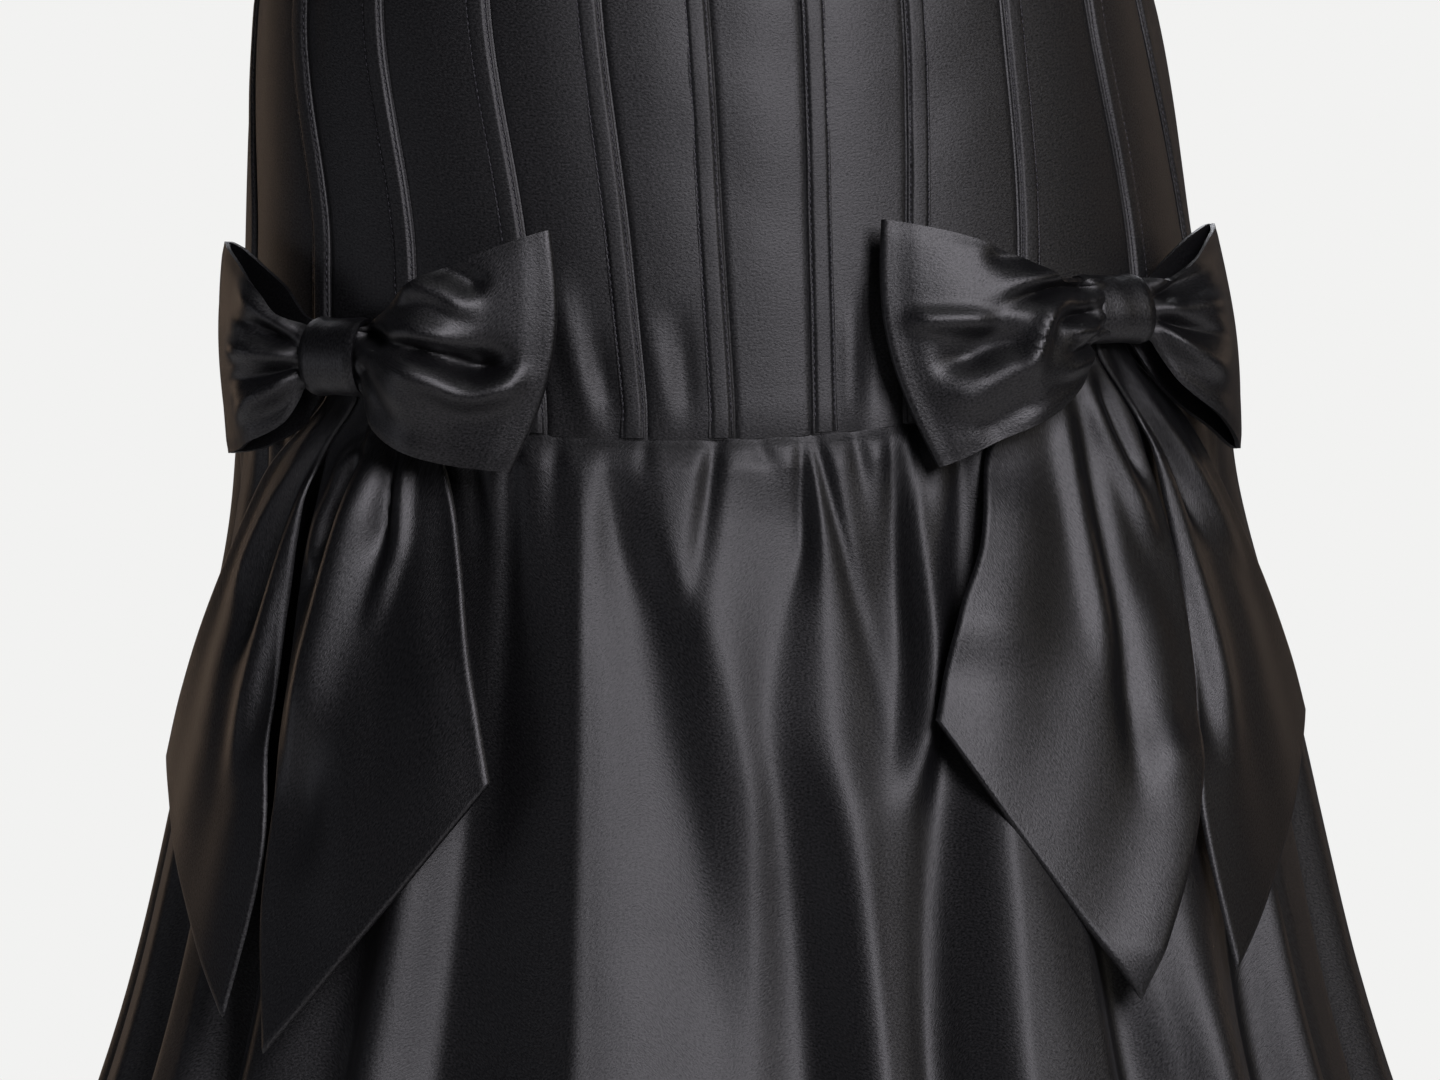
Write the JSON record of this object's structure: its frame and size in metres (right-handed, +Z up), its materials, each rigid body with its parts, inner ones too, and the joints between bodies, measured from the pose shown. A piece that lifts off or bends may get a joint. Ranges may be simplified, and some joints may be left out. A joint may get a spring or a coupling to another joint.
{
  "type": "ball gown",
  "caption": "Hollow worn ball gown in black satin: strapless boned bodice with a dropped waist seam, gathered full-length skirt, bows on both hips and a back zip.",
  "frame": {"origin": "centre of the wearer's waist, where the gown is held up; its mount is wearer_waist", "axes": "+Z up along the body, -Y to the front of the gown, +X to the wearer's left"},
  "size_m": [1.0757, 0.9948, 1.2859],
  "materials": {
    "satin": "black polyester duchess satin with a soft sheen",
    "satin_channel": "black satin bone channel, double stitched",
    "satin_bow": "black satin sash with a brighter sheen",
    "zip_metal": "black lacquered zinc slider and pull tab"
  },
  "bodies": {
    "gown": {"bodice_back_right": "satin", "bodice_rear_right_3": "satin", "bodice_rear_right_2": "satin", "bodice_rear_right_1": "satin", "bodice_side_right_2": "satin", "bodice_side_right_1": "satin", "bodice_front_right_3": "satin", "bodice_front_right_2": "satin", "bodice_front_right_1": "satin", "bodice_centre_front": "satin", "bodice_front_left_1": "satin", "bodice_front_left_2": "satin", "bodice_front_left_3": "satin", "bodice_side_left_1": "satin", "bodice_side_left_2": "satin", "bodice_rear_left_1": "satin", "bodice_rear_left_2": "satin", "bodice_rear_left_3": "satin", "bodice_back_left": "satin", "bone_right_1": "satin_channel", "bone_right_2": "satin_channel", "bone_right_3": "satin_channel", "bone_right_4": "satin_channel", "bone_right_5": "satin_channel", "bone_right_6": "satin_channel", "bone_right_7": "satin_channel", "bone_right_8": "satin_channel", "bone_right_9": "satin_channel", "bone_left_1": "satin_channel", "bone_left_2": "satin_channel", "bone_left_3": "satin_channel", "bone_left_4": "satin_channel", "bone_left_5": "satin_channel", "bone_left_6": "satin_channel", "bone_left_7": "satin_channel", "bone_left_8": "satin_channel", "bone_left_9": "satin_channel", "skirt_front": "satin", "skirt_side_left": "satin", "skirt_side_right": "satin", "skirt_back_left": "satin", "skirt_back_right": "satin", "bow_left_knot": "satin_bow", "bow_left_inner_loop": "satin_bow", "bow_left_outer_loop": "satin_bow", "bow_left_inner_tail": "satin_bow", "bow_left_outer_tail": "satin_bow", "bow_right_knot": "satin_bow", "bow_right_inner_loop": "satin_bow", "bow_right_outer_loop": "satin_bow", "bow_right_inner_tail": "satin_bow", "bow_right_outer_tail": "satin_bow", "zip_slider": "zip_metal"},
    "pull_tab": {"zip_tab": "zip_metal"}
  },
  "joints": [
    {"name": "tab_swing", "type": "hinge", "parent": "gown", "child": "pull_tab", "pos_m": [-0.01749, 0.10125, 0.136], "axis": [0.9945, 0.1045, 0], "range_deg": [0, 150]}
  ]
}
